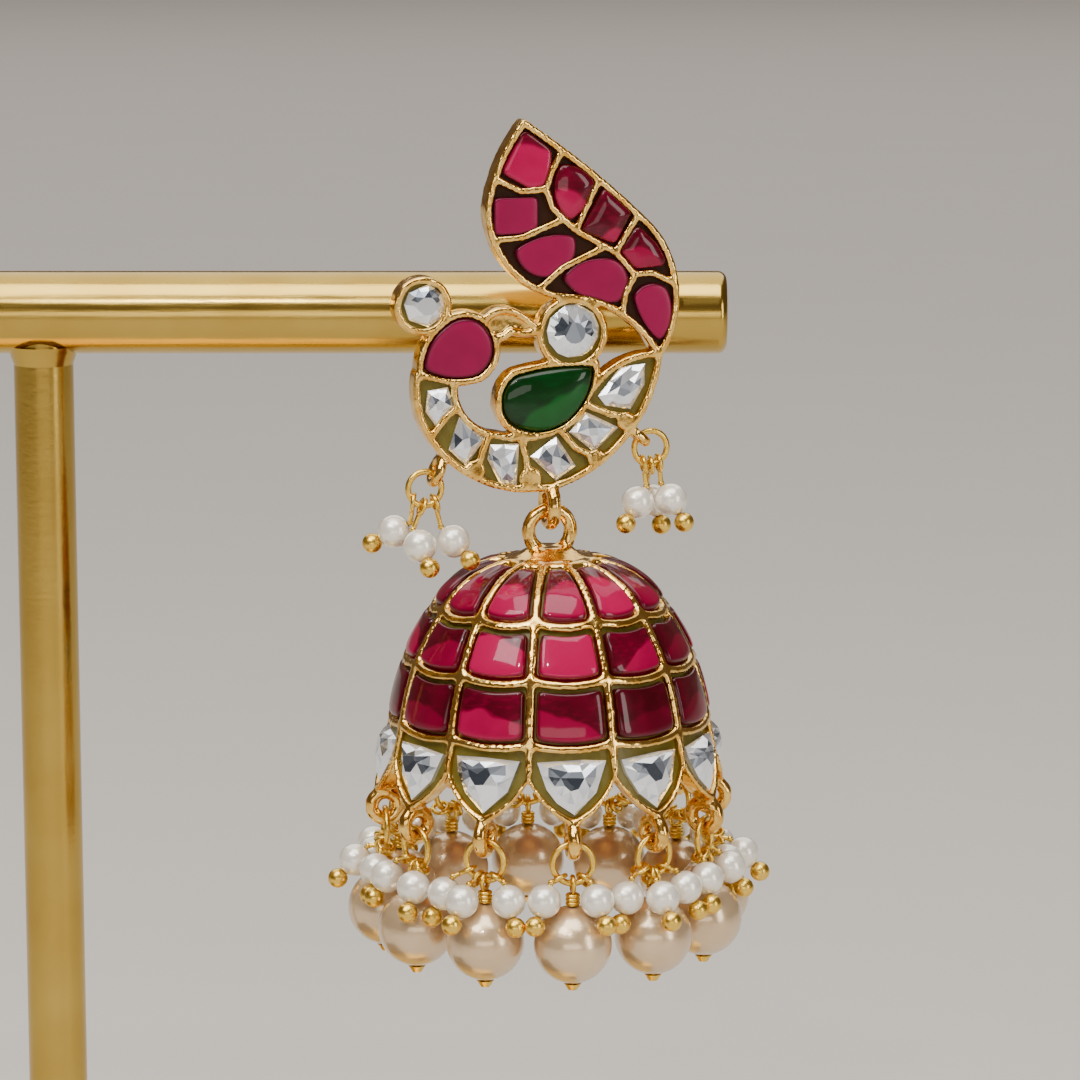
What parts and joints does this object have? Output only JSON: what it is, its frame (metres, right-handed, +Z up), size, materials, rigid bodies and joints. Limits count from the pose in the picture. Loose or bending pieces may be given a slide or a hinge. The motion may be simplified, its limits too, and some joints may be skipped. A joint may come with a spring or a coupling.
{
  "type": "jhumka earring on a T-bar stand",
  "caption": "Bird-shaped stud with set glass stones and a hanging bell-shaped drop fringed with pearls, hooked over the bar of a polished T-bar display stand.",
  "frame": {"origin": "centre of the underside of the stand's base", "axes": "+Z up, +X along the bar towards the earring, -Y towards the front"},
  "size_m": [0.115, 0.062, 0.1159],
  "materials": {
    "polished_stand_brass": "polished, greenish yellow",
    "antique_gold": "gold plated, hand finished, softly bumpy",
    "gold_wire": "gold plated wire, polished",
    "olive_lac": "matt olive lac",
    "ruby_glass": "polished pink-red glass over foil",
    "emerald_glass": "polished dark green glass",
    "foiled_crystal": "faceted clear glass over silver foil",
    "champagne_pearl": "pearl lustre, champagne",
    "white_pearl": "pearl lustre, white"
  },
  "bodies": {
    "root": {"band_crystal_1": "foiled_crystal", "band_crystal_2": "foiled_crystal", "band_crystal_3": "foiled_crystal", "band_crystal_4": "foiled_crystal", "band_crystal_5": "foiled_crystal", "band_crystal_6": "foiled_crystal", "crest_crystal": "foiled_crystal", "ear_nut": "antique_gold", "eye_crystal": "foiled_crystal", "green_stone": "emerald_glass", "head_stone": "ruby_glass", "left_drop_pearls": "white_pearl", "left_drop_pins": "gold_wire", "left_drop_ring": "gold_wire", "right_drop_pearls": "white_pearl", "right_drop_pins": "gold_wire", "right_drop_ring": "gold_wire", "stand_base": "polished_stand_brass", "stand_frame": "polished_stand_brass", "stud": "antique_gold", "stud_fill": "olive_lac", "wing_stone_1": "ruby_glass", "wing_stone_2": "ruby_glass", "wing_stone_3": "ruby_glass", "wing_stone_4": "ruby_glass", "wing_stone_5": "ruby_glass", "wing_stone_6": "ruby_glass", "wing_stone_7": "ruby_glass", "wing_stone_8": "ruby_glass"},
    "drop": {"dome": "antique_gold", "dome_fill": "olive_lac", "dome_stones_lower": "ruby_glass", "dome_stones_middle": "ruby_glass", "dome_stones_top": "ruby_glass", "drop_pearl_1": "champagne_pearl", "drop_pearl_10": "champagne_pearl", "drop_pearl_11": "champagne_pearl", "drop_pearl_12": "champagne_pearl", "drop_pearl_2": "champagne_pearl", "drop_pearl_3": "champagne_pearl", "drop_pearl_4": "champagne_pearl", "drop_pearl_5": "champagne_pearl", "drop_pearl_6": "champagne_pearl", "drop_pearl_7": "champagne_pearl", "drop_pearl_8": "champagne_pearl", "drop_pearl_9": "champagne_pearl", "drop_pearl_pins": "gold_wire", "jump_rings": "gold_wire", "petal_crystals": "foiled_crystal", "small_pearl_pins": "gold_wire", "small_pearls": "white_pearl"}
  },
  "joints": [
    {"name": "drop_swing", "type": "hinge", "parent": "root", "child": "drop", "pos_m": [0.04, -0.007, 0.08546], "axis": [0.9613, 0.2756, 0], "range_deg": [-35, 35]}
  ]
}
